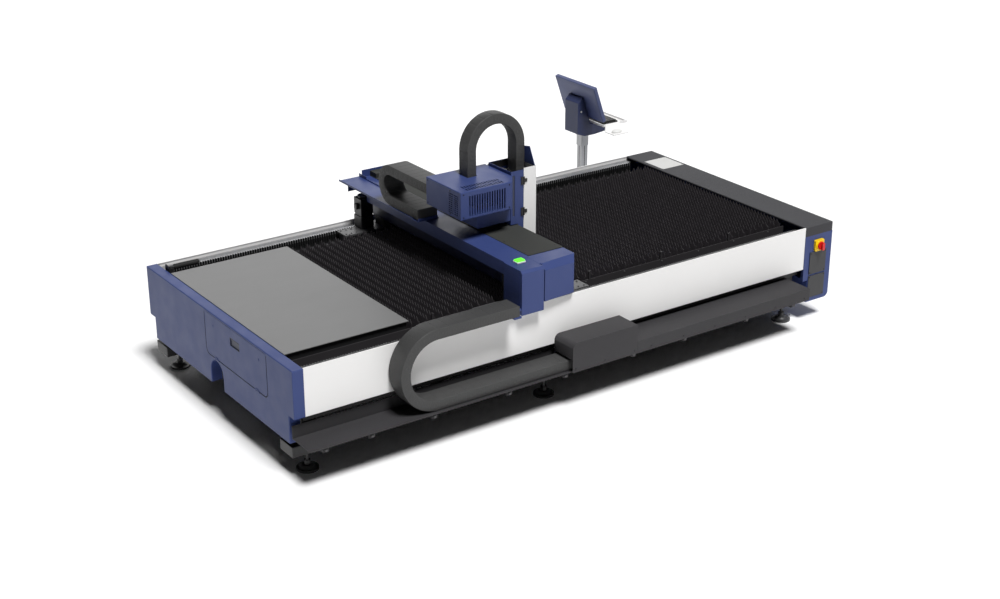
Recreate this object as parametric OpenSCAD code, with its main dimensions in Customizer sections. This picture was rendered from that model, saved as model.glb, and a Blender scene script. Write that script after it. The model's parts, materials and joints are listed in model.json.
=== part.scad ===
// Flat-bed laser cutting machine with a travelling gantry.
// Working frame inside the modules: X from the left end cover to the right one,
// Y from the front panel to the rear panel, Z up from the floor, in millimetres.
// at() moves everything so that the origin is on the floor under the middle.

/* [Bed] */
// Overall length of the bed over both end covers
bed_len = 4400; // [4380:5:4460]
// Width of the bed from front panel to rear panel
bed_w = 2025; // [2015:1:2035]
// Height of the panels' top edge above the floor
bed_h = 729; // [724:1:734]
// Depth of the left end cover
left_depth = 75; // [60:1:80]
// Depth of the right end cover
right_depth = 265; // [240:5:280]
// Thickness of the folded sheet covers
sheet_t = 3; // [2:0.5:4]
// Diameter of the levelling feet
foot_d = 138; // [120:2:160]

/* [Cutting table] */
// Distance from one support slat to the next
slat_pitch = 57; // [50:1:120]
// Thickness of a support slat
slat_t = 4; // [2:1:6]
// Length of one tooth of a slat
tooth_pitch = 33; // [30:1:60]
// Length of the deck plate over the parking zone
deck_len = 868; // [800:1:880]

/* [Drive] */
// Module of the long racks
rack_m = 6; // [5:1:6]
// Teeth on each long-travel pinion
pinion_z = 16; // [16:1:16]
// Module of the cross rack
cross_m = 3; // [3:1:3]

/* [Gantry] */
// Height of the beam covers above the floor
beam_top = 1000; // [998:1:1002]
// Height of the nozzle tip above the floor at rest
nozzle_z = 752; // [748:1:760]

/* [Chains] */
// Thickness of every cable chain
chain_t = 70; // [60:1:72]
// Width of the long chain
main_chain_w = 144; // [120:1:150]
// Inner bend radius of the long chain
main_r = 201; // [200:1:202]
// Inner bend radius of the cross chain
cross_r = 74; // [73:1:75]
// Inner bend radius of the lift chain
lift_r = 160; // [158:1:162]

/* [Console] */
// Width of the screen housing
monitor_w = 514; // [480:2:520]
// Height of the screen housing
monitor_h = 316; // [300:2:330]
// Backward lean of the screen in degrees
monitor_lean = 19.6; // [18:0.2:21]

/* [Hidden] */
$fn = 48;
e = 0.01;
xc = 2217;
yc = 1285;
xr = bed_len - right_depth;
ym = bed_w / 2;
tray_front = -178;
tray_end = 4012;
cap_h = 68;
slat_y0 = 232;
slat_y1 = bed_w - 232;
slat_z0 = 640;
slat_z1 = 730;
deck_x1 = left_depth + deck_len;
n_slats = floor((xr - 12 - (deck_x1 + 24)) / slat_pitch) + 1;
foot_x = [137, 1911, 4063];
foot_y = [119, bed_w - 119];
tube_x = [120, 1060, 2060, 3060, 4010];
rail_y = 157.5;
rack_pitch = PI * rack_m;
pin_r = rack_m * pinion_z / 2;
rack_line = 80.5;
front_pin = [1665, rack_line + pin_r];
rear_pin = [1620, bed_w - rack_line - pin_r];
cross_pitch = PI * cross_m;
cross_pr = cross_m * 16 / 2;
cross_pin = [950, 853];
blue = [0.24, 0.28, 0.51];
navy = [0.13, 0.15, 0.32];
white = [0.92, 0.92, 0.92];
dark = [0.2, 0.2, 0.21];
grey = [0.42, 0.42, 0.42];
steel = [0.62, 0.63, 0.64];

// ---------------------------------------------------------------- helpers
module at() translate([-xc, -yc, 0]) children();
// box from its lowest to its highest corner
module bx(x0, x1, y0, y1, z0, z1)
  translate([x0, y0, z0]) cube([x1 - x0, y1 - y0, z1 - z0]);
// outline in (y, z), extruded from x0 to x1
module yz(x0, x1) translate([x0, 0, 0]) rotate([90, 0, 90])
  linear_extrude(x1 - x0) children();
// outline in (x, z), extruded from y0 to y1
module xz(y0, y1) translate([0, y1, 0]) rotate([90, 0, 0])
  linear_extrude(y1 - y0) children();
module xcyl(x0, x1, y, z, r) translate([x0, y, z]) rotate([0, 90, 0])
  cylinder(r = r, h = x1 - x0);
module ycyl(y0, y1, x, z, r) translate([x, y0, z]) rotate([-90, 0, 0])
  cylinder(r = r, h = y1 - y0);
module zcyl(z0, z1, x, y, r) translate([x, y, z0]) cylinder(r = r, h = z1 - z0);
// rectangular tube along X or Y
module tube_x(x0, x1, y0, y1, z0, z1, w) difference() {
  bx(x0, x1, y0, y1, z0, z1);
  bx(x0 - 1, x1 + 1, y0 + w, y1 - w, z0 + w, z1 - w);
}
module tube_y(x0, x1, y0, y1, z0, z1, w) difference() {
  bx(x0, x1, y0, y1, z0, z1);
  bx(x0 + w, x1 - w, y0 - 1, y1 + 1, z0 + w, z1 - w);
}
// square with round corners made of plain circles and squares
module rsq(x0, x1, y0, y1, r) union() {
  translate([x0 + r, y0]) square([x1 - x0 - 2 * r, y1 - y0]);
  translate([x0, y0 + r]) square([x1 - x0, y1 - y0 - 2 * r]);
  for (x = [x0 + r, x1 - r], y = [y0 + r, y1 - r]) translate([x, y]) circle(r);
}
// straight-sided rack teeth along +X, standing up from y = 0, pitch line at y = ded
module rack_teeth(m, n) let (p = PI * m, ded = 1.25 * m, h = 2.25 * m, a = tan(20))
  for (i = [0 : n - 1]) translate([i * p, 0])
    polygon([[-p * 0.235 - ded * a, -e], [p * 0.235 + ded * a, -e],
             [p * 0.235 - m * a, h], [-p * 0.235 + m * a, h]]);
// pinion outline, one tooth along +X
module pinion_2d(m, z) let (r = m * z / 2, p = 360 / z, ri = r - 1.25 * m, ro = r + m) union() {
  circle(ri + 0.02);
  for (i = [0 : z - 1]) rotate(i * p) polygon([
    for (s = [[ri - 0.6, 0.268], [r - 0.45 * m, 0.262], [r, 0.218], [r + 0.5 * m, 0.158], [ro, 0.082]])
      s[0] * [cos(p * s[1]), sin(p * s[1])],
    for (s = [[ro, 0.082], [r + 0.5 * m, 0.158], [r, 0.218], [r - 0.45 * m, 0.262], [ri - 0.6, 0.268]])
      s[0] * [cos(p * s[1]), -sin(p * s[1])]]);
}
// half ring for a chain bend, axis along its own Z
module half_ring(ri, t, w) difference() {
  cylinder(r = ri + t, h = w, $fn = 96);
  translate([0, 0, -1]) cylinder(r = ri, h = w + 2, $fn = 96);
  translate([0, -(ri + t + 1), -1]) cube([ri + t + 2, 2 * (ri + t) + 2, w + 2]);
}

// ---------------------------------------------------------------- bed
module side_beams() color(dark) at() {
  tube_x(left_depth + 5, xr - 5, 12, 222, 400, 620, 10);
  tube_x(left_depth + 5, xr - 5, bed_w - 222, bed_w - 12, 400, 620, 10);
}
module cross_tubes() color(dark) at()
  for (x = tube_x) tube_y(x, x + 100, 222, bed_w - 222, 410, 510, 6);
module base_rail(y0, yf) difference() {
  union() {
    tube_x(8, xr + 35, y0, y0 + 160, 130, 205, 6);
    for (x = [8, xr + 30]) bx(x, x + 5, y0, y0 + 160, 130, 205);
    for (x = [90, 1000, 1860, 2900, 4010]) bx(x, x + 100, y0 + 20, y0 + 140, 205 - e, 400);
  }
  for (x = foot_x) zcyl(129, 137, x, yf, 10.05);
}
module base_rails() color(dark) at() {
  base_rail(55, foot_y[0]);
  base_rail(bed_w - 215, foot_y[1]);
}
module foot(x, y) {
  zcyl(0, 14, x, y, foot_d / 2);
  translate([x, y, 14 - e]) cylinder(r1 = foot_d / 2 - 12, r2 = 30, h = 20);
  zcyl(34 - e, 165, x, y, 10);
  zcyl(34 - e, 62, x, y, 20);
  translate([x, y, 112]) cylinder(r = 24, h = 18, $fn = 6);
}
module levelling_feet() color(dark) at() for (x = foot_x, y = foot_y) foot(x, y);

// end cover with a clean-out hatch and an arched cut-out
module cover_outline(o) polygon([
  [66 + o, 230 - 10 * sign(o)], [66 + o, 412 + o], [-4 + o, 412 + o], [-4 + o, bed_h - o],
  [bed_w - o, bed_h - o], [bed_w - o, 379 + o], [bed_w - 76 - o, 379 + o],
  [bed_w - 76 - o, 230 - 10 * sign(o)]]);
hatch = [322, 1150, 425, 718];
// hatch outline, o smaller all round: round corners below, square ones above
module hatch_shape(o, r) union() {
  rsq(hatch[0] + o, hatch[1] - o, hatch[2] + o, hatch[3] - o, r);
  translate([hatch[0] + o, hatch[2] + 100]) square([hatch[1] - hatch[0] - 2 * o, hatch[3] - o - hatch[2] - 100]);
}
module left_cover() color(blue) at() {
  hatch_hinges();
  cover_shell();
}
module cover_shell() difference() {
  union() {
    difference() {
      yz(0, left_depth) cover_outline(0);
      yz(sheet_t, left_depth + 1) cover_outline(sheet_t);
    }
    // lining of the arch
    yz(0, left_depth) difference() { arch(87.5 + sheet_t); arch(87.5); translate([900, 200]) square([240, 30]); }
  }
  yz(-1, left_depth + 1) arch(87.5);
  yz(-1, sheet_t + e) hatch_shape(0, 40);
  for (y = hinge_y) bx(-1, sheet_t + 1, y + 15, y + 45, hatch[2] - 1.2, hatch[2] + 1);
}
// fixed leaves and pins of the hatch hinges, on the outer face under the opening
hinge_y = [hatch[0] + 110, hatch[1] - 170];
module hatch_hinges() for (y = hinge_y) {
  ycyl(y, y + 60, -1.5, hatch[2] + 1.5, 1.2);
  for (s = [y, y + 45]) {
    ycyl(s, s + 15, -1.5, hatch[2] + 1.5, 2.05);
    bx(-2.5, e, s, s + 15, hatch[2] - 10, hatch[2] + 1);
  }
}
module arch(r) {
  translate([1020 - r, 220]) square([2 * r, 100]);
  translate([1020, 320]) circle(r);
}
module hatch_door() color(blue) at() difference() {
  union() {
    yz(0, sheet_t) hatch_shape(3, 38);
    yz(0, 22) difference() {
      rsq(hatch[0] + 12, hatch[1] - 12, hatch[2] + 22, hatch[3] - 12, 30);
      rsq(hatch[0] + 15, hatch[1] - 15, hatch[2] + 25, hatch[3] - 15, 27);
    }
    for (y = hinge_y) {
      ycyl(y + 15.3, y + 44.7, -1.5, hatch[2] + 1.5, 2.05);
      bx(-2.5, e, y + 15.3, y + 44.7, hatch[2] + 2, hatch[2] + 13);
    }
  }
  for (y = hinge_y) ycyl(y - 5, y + 65, -1.5, hatch[2] + 1.5, 1.25);
  bx(-1, 23, 673, 801, 597, 656);
  for (y = [422, 1039]) xcyl(-1, 10, y, 644, 9.5);
}
module hatch_fittings() color(dark) at() {
  difference() {
    bx(0.5, 26, 673.3, 800.7, 597.3, 655.7);
    bx(-1, 23, 677, 797, 601, 652);
  }
  for (y = [422, 1039]) {
    xcyl(-2, 16, y, 644, 9);
    bx(16 - e, 20, y - 8, y + 8, 632, 668);
  }
}
module right_profile(o) difference() {
  union() {
    translate([xr + o, 320 + o]) square([right_depth - 2 * o, bed_h - cap_h - 320 - o]);
    translate([xr + 45 + o, 150 + o]) square([right_depth - 45 - 2 * o, 190]);
  }
  translate([bed_len - 40, 190]) difference() {
    translate([0, -41]) square([41, 41]);
    circle(40 - o);
  }
}
module right_cover() color(blue) at() difference() {
  xz(-4, bed_w) right_profile(0);
  xz(-4 + sheet_t, bed_w - sheet_t) intersection() {
    right_profile(sheet_t);
    translate([xr, 0]) square([right_depth, bed_h]);
  }
  // open top under the cap and open inner side
  bx(xr + sheet_t, bed_len - sheet_t, -4 + sheet_t, bed_w - sheet_t, 600, bed_h);
  bx(xr - 1, xr + sheet_t + e, 20, bed_w - 20, 340, bed_h);
}
module right_cap() color(grey) at() difference() {
  bx(xr, bed_len, -4, bed_w, bed_h - cap_h, bed_h);
  bx(xr + sheet_t, bed_len - sheet_t, -4 + sheet_t, bed_w - sheet_t, bed_h - cap_h - 3, bed_h - sheet_t);
  bx(xr - 1, xr + sheet_t + e, 20, bed_w - 20, bed_h - cap_h - 3, bed_h - 10);
}
module cover_panels() color(dark) at() {
  bx(4186, 4346, -10, -4, 366, 533);
  bx(4186, 4346, -10, -4, 184, 350);
}
module isolator_base() color([0.95, 0.8, 0.05]) at() difference() {
  union() {
    xz(-22, -4) rsq(4222, 4306, 538, 622, 10);
    ycyl(-30, -22 + e, 4264, 580, 36);
  }
  ycyl(-31, -3, 4264, 580, 8.05);
}
module isolator_knob() color([0.8, 0.05, 0.05]) at() {
  ycyl(-30.3, -8, 4264, 580, 8);
  ycyl(-44, -30.3, 4264, 580, 30);
  xz(-62, -44 + e) rsq(4253, 4275, 552, 608, 8);
}
module front_panel() color(white) at() {
  bx(left_depth + 0.5, xr - 0.5, 0, sheet_t, 412, bed_h);
  bx(left_depth + 0.5, xr - 0.5, sheet_t - e, 8, bed_h - sheet_t, bed_h);
  bx(left_depth + 0.5, xr - 0.5, sheet_t - e, 12, 412, 412 + sheet_t);
  for (x = tube_x) bx(x + 20, x + 60, sheet_t - e, 12, 480, 560);
}
module rear_panel() color(white) at() {
  bx(left_depth + 0.5, xr - 0.5, bed_w - sheet_t, bed_w, 300, bed_h);
  bx(left_depth + 0.5, xr - 0.5, bed_w - 8, bed_w - sheet_t + e, bed_h - sheet_t, bed_h);
  bx(left_depth + 0.5, xr - 0.5, bed_w - 12, bed_w - sheet_t + e, 303, 303 + sheet_t);
  for (x = tube_x) bx(x + 20, x + 60, bed_w - 12, bed_w - sheet_t + e, 480, 560);
}
// saw-tooth slats across the table
slat_x0 = deck_x1 + 24;
// every second slat stands half a tooth further on
module slats() color([0.14, 0.13, 0.14]) at() for (i = [0 : n_slats - 1])
  let (o = (i % 2) * tooth_pitch / 2, n = floor((slat_y1 - slat_y0 - o - 0.5) / tooth_pitch))
  yz(slat_x0 + i * slat_pitch, slat_x0 + i * slat_pitch + slat_t) polygon([
    [slat_y0, slat_z0], [slat_y1, slat_z0], [slat_y0 + o + n * tooth_pitch, slat_z1 - 26],
    for (k = [n - 1 : -1 : 0]) let (y = slat_y0 + o + k * tooth_pitch) each
      [[y + tooth_pitch / 2, slat_z1], [y, slat_z1 - 26]],
    if (o > 0) [slat_y0, slat_z1 - 26]]);
// bars under the slats with their posts, the strip before the slat ends and its stop lugs
module slat_supports() color([0.16, 0.16, 0.17]) at() {
  for (y = [240, ym - 10, bed_w - 260]) {
    bx(left_depth + 5, xr - 2, y, y + 20, 600, 640);
    for (x = tube_x) bx(x + 30, x + 70, y, y + 20, 513.2, 599.8);
  }
  bx(left_depth + 5, xr - 2, 224, 231.7, 600, 680);
  for (i = [0 : 4]) bx(1115 + i * 620, 1131 + i * 620, 224, 231.7, 680.2, 738);
}
module deck_plate() color([0.57, 0.57, 0.57]) at() {
  bx(left_depth + 1, deck_x1, slat_y0 - 6, slat_y1 + 6, 729, 733);
  for (y = [244, ym - 4, bed_w - 252]) bx(left_depth + 6, deck_x1 - 6, y, y + 8, 640, 729 + e);
}
module guide_rails() color(steel) at() for (y = [rail_y, bed_w - rail_y])
  bx(left_depth + 8, xr - 8, y - 17, y + 17, 620, 650);
module one_rack(px) let (x0 = left_depth + 12, x1 = xr - 12,
    k0 = ceil((x0 + 8 - px) / rack_pitch - 0.5), k1 = floor((x1 - 8 - px) / rack_pitch - 0.5)) {
  translate([0, 10, 620]) linear_extrude(82) union() {
    translate([x0, 0]) square([x1 - x0, rack_line - 1.25 * rack_m - 10]);
  }
  translate([px + (k0 + 0.5) * rack_pitch, rack_line - 1.25 * rack_m, 650])
    linear_extrude(52) rack_teeth(rack_m, k1 - k0 + 1);
}
module racks() color(steel) at() {
  one_rack(front_pin[0]);
  translate([0, bed_w, 0]) mirror([0, 1, 0]) one_rack(rear_pin[0]);
}

// ---------------------------------------------------------------- chain trough along the front
module front_tray() color([0.28, 0.28, 0.29]) at() {
  bx(4, tray_end - 4, tray_front, 40, 272, 275);
  bx(4, tray_end - 4, 37, 40, 275 - e, 358);
  bx(4, tray_end - 4, tray_front, tray_front + 3, 272, 278);
  bx(2330, 2336, -140, -20, 275 - e, 348);
  for (x = [97, 414, 858, 1419, 1861, 2423, 2868, 3430, 3875]) {
    bx(x, x + 40, -158, 75, 236, 272 + e);
    bx(x + 10, x + 30, 55, 75, 205, 236 + e);
  }
}
module anchor_box() color([0.28, 0.28, 0.29]) at() difference() {
  xz(-200, 0) polygon([[1906, 276], [1906, 444], [1912, 462], [1924, 474], [1942, 480],
    [2440, 480], [2440, 276]]);
  xz(-197, -3) polygon([[1909, 275], [1909, 443], [1915, 460], [1926, 471], [1943, 477],
    [2437, 477], [2437, 275]]);
  bx(1900, 1910, -197, -3, 270, 366);
  bx(2436, 2441, -197, -3, 270, 359);
  bx(1800, 2500, -173, 1, 270, 276.5);
}
module tray_cover() color([0.3, 0.3, 0.31]) at() difference() {
  bx(2440.3, tray_end, -200, 60, 276, 362);
  bx(2440, tray_end - 3, -197, 57, 275, 359);
  bx(2440, tray_end + 1, 30, 61, 275, 359);
}
// shallow pans on the cross tubes that catch slag below the slats
module slag_pans() color(dark) at() for (i = [0 : 3]) let (x0 = tube_x[i] + 105, x1 = tube_x[i + 1] - 5) difference() {
  union() {
    bx(x0, x1, 226, bed_w - 226, 420, 513);
    bx(x0 - 25, x1 + 25, 226, bed_w - 226, 510, 513);
  }
  bx(x0 + 3, x1 - 3, 229, bed_w - 229, 423, 514);
}
module main_chain_lower() color([0.3, 0.3, 0.3]) at()
  bx(920.3, 2329.7, -8 - main_chain_w, -8, 278, 278 + chain_t);
module main_chain_loop() color([0.3, 0.3, 0.3]) at()
  translate([920, -8, 278 + chain_t + main_r]) rotate([90, 0, 0])
    half_ring(main_r, chain_t, main_chain_w);
module main_chain_upper() color([0.3, 0.3, 0.3]) at()
  bx(920.3, 1520, -8 - main_chain_w, -8, 278 + chain_t + 2 * main_r, 278 + 2 * chain_t + 2 * main_r);

// ---------------------------------------------------------------- console
px = 4095;
py = 2545;
kz = 893.3;
module console_post() color(steel) at() {
  difference() {
    bx(px - 31, px + 31, py - 31, py + 31, 300, 800);
    bx(px - 27, px + 27, py - 27, py + 27, 299, 796);
  }
  difference() {
    bx(px - 36, px + 36, py - 36, py + 36, 700, 800);
    bx(px - 31, px + 31, py - 31, py + 31, 699, 797);
  }
  for (z = [330, 405]) tube_y(px - 30, px + 30, bed_w + 8 - e, py - 31 + e, z, z + 60, 5);
  bx(px - 70, px + 38, bed_w, bed_w + 8, 320, 620);
}
module console_head() color(blue) at()
  xz(py - 88, py + 88) polygon([[px - 119, 828], [px - 42, 800.3], [px + 60, 800.3], [px + 209, 816], [px + 209, 850],
    [px + 150, 893], [px + 16, 893], [px - 68.2, 1130], [px - 80, 1130], [px - 119, 1089]]);
// the screen leans back about its lower edge
module lean() translate([px + 8, py, 946.2]) rotate([0, -monitor_lean, 0]) children();
module monitor() color(navy) at() lean() difference() {
  intersection() {
    xz(-monitor_w / 2, monitor_w / 2) polygon([[34, 0], [34, monitor_h], [0, monitor_h], [-9, monitor_h - 32], [-9, 32], [0, 0]]);
    linear_extrude(monitor_h) polygon([[34, -monitor_w / 2], [34, monitor_w / 2], [0, monitor_w / 2],
      [-9, monitor_w / 2 - 32], [-9, 32 - monitor_w / 2], [0, -monitor_w / 2]]);
  }
  translate([29, -monitor_w / 2 + 18, 18]) cube([10, monitor_w - 36, monitor_h - 36]);
}
module screen() color([0.05, 0.06, 0.08]) at() lean()
  translate([29.2, -monitor_w / 2 + 18.3, 18.3]) cube([2.5, monitor_w - 36.6, monitor_h - 36.6]);
module keyboard_tray() color(white) at() {
  difference() {
    bx(px + 46, px + 290, py - 215, py + 235, kz, kz + 19);
    bx(px + 52, px + 284, py - 209, py + 229, kz + 5, kz + 20);
  }
  // lower shelf for the mouse, hung from the tray
  bx(px + 60, px + 210, py - 335, py - 215, kz - 45, kz - 39);
  bx(px + 60, px + 210, py - 221, py - 215 + e, kz - 40, kz + 19);
}
module keyboard() color([0.1, 0.1, 0.1]) at() bx(px + 66, px + 222, py - 180, py + 220, kz + 5, kz + 30);
module mouse() color([0.85, 0.85, 0.85]) at() hull() {
  translate([px + 150, py - 282, kz - 39]) cylinder(r = 31, h = 13, $fn = 32);
  translate([px + 112, py - 282, kz - 39]) cylinder(r = 29, h = 23, $fn = 32);
}

// ---------------------------------------------------------------- gantry
module slider_plates() color([0.6, 0.6, 0.62]) at() difference() {
  union() {
    bx(1412, 2256, 95, 220, 690, 705);
    bx(1412, 2256, bed_w - 220, bed_w - 95, 690, 705);
    bx(1730, 1990, 100, 218, 705 - e, 762);
    bx(1730, 1990, bed_w - 218, bed_w - 100, 705 - e, 762);
  }
  zcyl(689, 706, front_pin[0], front_pin[1], 26);
  zcyl(689, 706, rear_pin[0], rear_pin[1], 26);
}
module bearing_blocks() color([0.35, 0.36, 0.38]) at()
  for (x = [1418, 2130], y = [rail_y, bed_w - rail_y]) difference() {
    bx(x, x + 115, y - 42, y + 42, 634, 690);
    bx(x - 1, x + 116, y - 17.3, y + 17.3, 633, 650.3);
  }
module gantry_beam() color([0.1, 0.11, 0.2]) at() tube_y(1725, 2000, 64, 1965, 762, 972, 8);
module beam_cover() color(blue) at() {
  bx(1610, 1793, 137, 2096, beam_top - 3, beam_top);
  bx(1610, 1613, 137, rear_pin[1] - 66, 915, beam_top - 3 + e);
  bx(1610, 1990, 2093, 2096, 915, beam_top);
  bx(1730, 2071, 2093, 2096, beam_top - 3, beam_top + 53);
  for (y = [300, 900, 1500, 1900]) bx(1700, 1760, y, y + 40, 972, beam_top - 3 + e);
}
module dust_cover() color([0.27, 0.27, 0.25]) at() {
  bx(1793.3, 2071, 140, 2092.7, beam_top - 3, beam_top + 3);
  bx(2068, 2071, 140, 2092.7, 968, beam_top - 3 + e);
  for (y = [300, 900, 1500, 1900]) bx(1810, 1960, y, y + 40, 972, beam_top - 3 + e);
  bx(1797, 2067, 2006, 2092.7, beam_top + 3 - e, beam_top + 38);
}
module front_leg() color(blue) at() {
  difference() {
    yz(1602, 1773) polygon([[-60, 702], [-4, 702], [-4, 735], [137, 735], [137, beam_top],
      [-43, beam_top], [-60, beam_top - 17]]);
    yz(1605, 1774) polygon([[-57, 705], [-7, 705], [-7, 700], [140, 700], [140, beam_top - 3],
      [-42, beam_top - 3], [-57, beam_top - 18]]);
    bx(1604, 1774, -4.5, 138, 690, 745);
    bx(1601, 1774, -62, -6, 690, 702);
  }
}
box_a = [1800, -9, 1000];
box_b = [2068, 14, 1000];
box_c = [2031, -32, 960];
box_n = cross(box_c - box_a, box_b - box_a) / norm(cross(box_c - box_a, box_b - box_a));
box_u = (box_b - box_a) / norm(box_b - box_a);
box_w = cross(box_n, box_u);
// everything above the sloping corner, lowered by d
module above_slope(d) multmatrix([for (k = [0 : 2]) [box_u[k], box_w[k], box_n[k], box_a[k]]])
  translate([-400, -400, -d]) cube([1200, 1200, 300]);
module front_box() color(blue) at() {
  difference() {
    translate([0, 0, 752]) linear_extrude(beam_top - 752)
      polygon([[1773.3, 60], [1773.3, -2], [1788, -14], [1788, -49], [2031, -32], [2068, 19], [2068, 60]]);
    above_slope(0);
    difference() {
      translate([0, 0, 751]) linear_extrude(beam_top - 754)
        polygon([[1776.3, 61], [1776.3, -0.5], [1791, -12.6], [1791, -45.8], [2029.4, -29.2], [2065, 20], [2065, 61]]);
      above_slope(3);
    }
    bx(1773, 1777, 20, 61, 751, beam_top - 3);
  }
  bx(1773.3, 2068, 60 - e, 136.7, beam_top - 3, beam_top);
}
// tray under the cross chain, and the bracket that takes the long chain's end
module chain_supports() color(navy) at() {
  bx(1548, 1717, 1060, 2110, beam_top, beam_top + 6);
  for (x = [1548, 1714]) bx(x, x + 3, 1120, 2110, beam_top + 6 - e, beam_top + 14);
  bx(1714, 1717, 2006, 2110, beam_top + 14 - e, beam_top + 30);
  bx(1556, 1709, 1060, 1069.7, beam_top + 6 - e, 1022);
  bx(1480, 1535, -8 - main_chain_w, -8, 737, 749.7);
  bx(1535 - e, 1602, -56, -8, 737, 749.7);
}
module status_light() color([0.2, 0.9, 0.1]) at() {
  bx(1652, 1718, 58, 112, beam_top, beam_top + 12);
  bx(1658, 1712, 64, 106, beam_top + 12 - e, beam_top + 20);
}
module one_motor(p, plug) difference() {
  union() {
    translate([p[0] - 52, p[1] - 52, 705]) cube([104, 104, 92]);
    translate([p[0] - 47, p[1] - 47, 797 - e]) cube([94, 94, 15 + e]);
    translate([p[0] - 50, p[1] - 50, 812 - e]) cube([100, 100, 118]);
    zcyl(930 - e, 944, p[0], p[1], 42);
    translate([p[0], p[1], 850]) rotate(plug) translate([50 - e, -18, 0]) cube([20, 36, 40]);
  }
  zcyl(704, 740, p[0], p[1], 20.05);
}
module drive_motors() color([0.12, 0.12, 0.12]) at() { one_motor(front_pin, 90); one_motor(rear_pin, 180); }
module pinion(p, a) translate([p[0], p[1], 655]) {
  linear_extrude(31) rotate(a) pinion_2d(rack_m, pinion_z);
  cylinder(r = 20, h = 80);
}
module front_pinion() color(steel) at() pinion(front_pin, -90);
module rear_pinion() color(steel) at() pinion(rear_pin, 90);
// side rails of the beam and the cross rack between them
module beam_rails() color(steel) at() {
  for (z = [790, 920]) bx(2000, 2022, 66, 1963, z, z + 24);
  let (y0 = 66, y1 = 1963, zt = cross_pin[1] + cross_pr + 1.25 * cross_m,
       k0 = ceil((y0 + 5 - cross_pin[0]) / cross_pitch - 0.5),
       k1 = floor((y1 - 5 - cross_pin[0]) / cross_pitch - 0.5)) {
    bx(2000, 2030, y0, y1, zt, zt + 24);
    yz(2000, 2030) translate([cross_pin[0] + (k0 + 0.5) * cross_pitch, zt]) mirror([0, 1])
      rack_teeth(cross_m, k1 - k0 + 1);
  }
}
module cross_pinion() color(steel) at() {
  yz(2003, 2029) translate(cross_pin) rotate(90) pinion_2d(cross_m, 16);
  xcyl(2029 - e, 2120, cross_pin[0], cross_pin[1], 10);
}
module cross_chain_lower() color([0.3, 0.3, 0.3]) at() bx(1552, 1712, 1070, 1419.7, 1015, 1015 + chain_t);
module cross_chain_loop() color([0.3, 0.3, 0.3]) at()
  translate([1712, 1420, 1015 + chain_t + cross_r]) rotate([0, 90, 180]) rotate([0, 0, 90])
    half_ring(cross_r, chain_t, 160);
module cross_chain_upper() color([0.3, 0.3, 0.3]) at()
  bx(1552, 1712, 937.3, 1419.7, 1015 + chain_t + 2 * cross_r, 1015 + 2 * chain_t + 2 * cross_r);

// ---------------------------------------------------------------- carriage and cutting head
module carriage_plate() color([0.4, 0.41, 0.44]) at() {
  difference() {
    bx(2076, 2094, 646, 1000, 780, 1330);
    xcyl(2075, 2095, cross_pin[0], cross_pin[1], 14);
  }
  for (y = [696, 830]) bx(2094 - e, 2104, y, y + 15, 850, 1325);
  bx(1755, 2076 + e, 660, 880, 1093, 1105.5);
  for (z = [790, 920], y = [650, 820]) difference() {
    bx(2005, 2076 + e, y, y + 80, z - 14, z + 38);
    bx(2004, 2022.3, y - 1, y + 81, z - 0.3, z + 24.3);
  }
}
// louvred cover on a narrow neck that stands on the arm of the carriage plate
module cover_plan(o) polygon([[1540 + o, 527 + o], [1943 - o, 527 + o], [2010 - o, 620 + o], [2010 - o, 937 - o], [1540 + o, 937 - o]]);
module carriage_cover() color(blue) at() {
  difference() {
    translate([0, 0, 1172]) linear_extrude(190) cover_plan(0);
    translate([0, 0, 1175]) linear_extrude(184) cover_plan(sheet_t);
    bx(1748, 2006, 643, 897, 1170, 1176);
    for (i = [0 : 14]) bx(1606 + i * 19.6, 1616 + i * 19.6, 520, 532, 1190, 1328);
    for (i = [0 : 14], k = [0, 1]) bx(1606 + i * 19.6, 1616 + i * 19.6, 545 + k * 48, 583 + k * 48, 1355, 1370);
    for (i = [0 : 9], k = [0, 1]) bx(1535, 1545, 557 + k * 61, 608 + k * 61, 1196 + i * 14, 1202 + i * 14);
    bx(1745, 1825, 752, 864, 1350, 1370);
  }
  difference() {
    bx(1745, 2010, 640, 900, 1040, 1172 + e);
    bx(1748, 2011, 643, 897, 1043, 1173);
  }
  for (x = [1765, 1960]) bx(x, x + 30, 642.9, 897.1, 1105.8, 1125);
}
module cross_motor() color([0.12, 0.12, 0.12]) at() difference() {
  union() {
    bx(2094, 2150, cross_pin[0] - 38, cross_pin[0] + 38, cross_pin[1] - 38, cross_pin[1] + 38);
    xcyl(2150 - e, 2215, cross_pin[0], cross_pin[1], 34);
  }
  xcyl(2093, 2125, cross_pin[0], cross_pin[1], 10.05);
}
// fixed side of the head housing: blue column, back wall, pointed guard and the hinge leaves
module z_column() color(blue) at() {
  difference() {
    union() {
      bx(2014, 2117, 640, 643, 1010, 1380);
      bx(2014, 2017, 640, 900, 1010, 1380);
      bx(2014, 2215, 897, 900, 1010, 1380);
    }
    bx(2075.8, 2094.2, 645.8, 1001, 1000, 1330.2);
    bx(2000, 2077, 659.8, 880.2, 1092.8, 1105.7);
    bx(2028, 2046, 639, 644, 1067, 1350);
  }
  bx(2074, 2117, 640, 643, 870, 1010 + e);
  bx(2097, 2215, 897, 900, 870, 1010 + e);
  yz(2212, 2215) polygon([[645, 1386], [706, 1507], [900, 1470], [900, 1010], [880, 1010], [880, 1386]]);
  bx(2017 - e, 2075.8, 870, 897 + e, 1290, 1330);
  for (z = [1090, 1305]) {
    bx(2095, 2111.5, 633.5, 640 + e, z - 27, z + 27);
    for (s = [-27, 12]) bx(2111.5 - e, 2116.5, 633.5, 640 + e, z + s, z + s + 15);
    for (s = [-27, 12]) zcyl(z + s, z + s + 15, 2117.5, 634, 5);
    zcyl(z - 27, z + 27, 2117.5, 634, 2.5);
  }
}
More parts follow.
